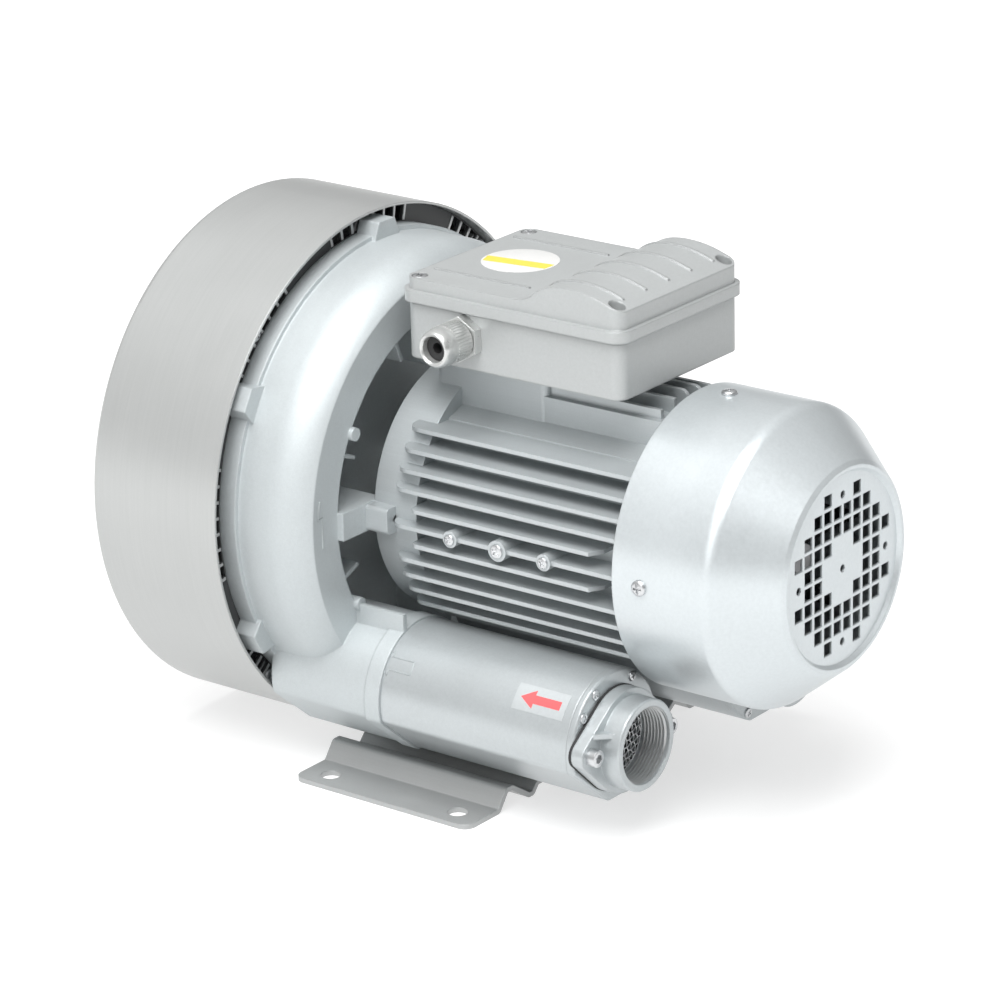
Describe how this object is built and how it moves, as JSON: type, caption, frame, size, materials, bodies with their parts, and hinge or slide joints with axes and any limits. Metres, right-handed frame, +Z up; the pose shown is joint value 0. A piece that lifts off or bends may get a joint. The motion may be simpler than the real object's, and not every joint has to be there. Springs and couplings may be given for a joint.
{
  "type": "side channel blower",
  "caption": "Two stage side channel blower with a drum shaped silencer cover, a finned fan cooled motor, a terminal box and two threaded ports on a pressed foot.",
  "frame": {"origin": "centre of the foot's four bolt holes, on the floor", "axes": "+X along the shaft from the drum to the fan cowl, +Z up, -Y to the inlet side"},
  "size_m": [0.4289, 0.315, 0.3165],
  "materials": {
    "cast_grey": "semi-gloss",
    "cast_bare": "as cast",
    "sheet_grey": "satin",
    "steel_zinc": "zinc plated",
    "steel_plain": "machined",
    "iron_core": "laminated",
    "copper_winding": "varnished",
    "gland_nickel": "nickel plated brass",
    "black_plastic": "moulded",
    "grey_plastic": "moulded",
    "white_plastic": "moulded",
    "rubber_black": "matte",
    "foam_grey": "open cell"
  },
  "bodies": {
    "housing": {"boss_screws": "steel_zinc", "capacitor": "white_plastic", "casing_bolts": "steel_zinc", "casing_front": "cast_bare", "casing_middle": "cast_bare", "casing_motor_side": "cast_grey", "cowl_screws": "steel_zinc", "drive_bearing_outer": "steel_plain", "drive_end_shield": "cast_grey", "drum_cover": "sheet_grey", "drum_screws": "steel_zinc", "end_cap_screws": "steel_zinc", "fan_bearing_outer": "steel_plain", "fan_cowl": "sheet_grey", "fan_end_shield": "cast_grey", "flange_screws": "steel_zinc", "foot_plate": "sheet_grey", "foot_screws": "steel_zinc", "gland_body": "gland_nickel", "gland_locknut": "gland_nickel", "gland_nut": "gland_nickel", "gland_seal": "rubber_black", "grille_ring": "sheet_grey", "grille_screws": "steel_zinc", "inlet_end_cap": "cast_grey", "inlet_flange": "cast_grey", "inlet_gasket": "rubber_black", "inlet_liner": "foam_grey", "inlet_screen": "steel_zinc", "inlet_silencer": "cast_grey", "lid_screws": "steel_zinc", "lug_screws": "steel_zinc", "motor_housing": "cast_grey", "outlet_end_cap": "cast_grey", "outlet_flange": "cast_grey", "outlet_gasket": "rubber_black", "outlet_liner": "foam_grey", "outlet_screen": "steel_zinc", "outlet_silencer": "cast_grey", "shaft_seal": "rubber_black", "stator_core": "iron_core", "stator_windings": "copper_winding", "terminal_block": "white_plastic", "terminal_box_base": "grey_plastic", "terminal_box_gasket": "rubber_black", "terminal_box_lid": "grey_plastic"},
    "rotor": {"cooling_fan": "black_plastic", "drive_bearing_inner": "steel_plain", "fan_bearing_inner": "steel_plain", "fan_clip": "steel_zinc", "impeller_front": "cast_bare", "impeller_rear": "cast_bare", "rotor_core": "iron_core", "shaft": "steel_plain", "shaft_keys": "steel_plain", "shaft_nut": "steel_zinc", "shaft_spacers": "cast_bare"}
  },
  "joints": [
    {"name": "rotor_spin", "type": "hinge", "parent": "housing", "child": "rotor", "pos_m": [0, 0, 0.159], "axis": [1, 0, 0], "continuous": true}
  ]
}
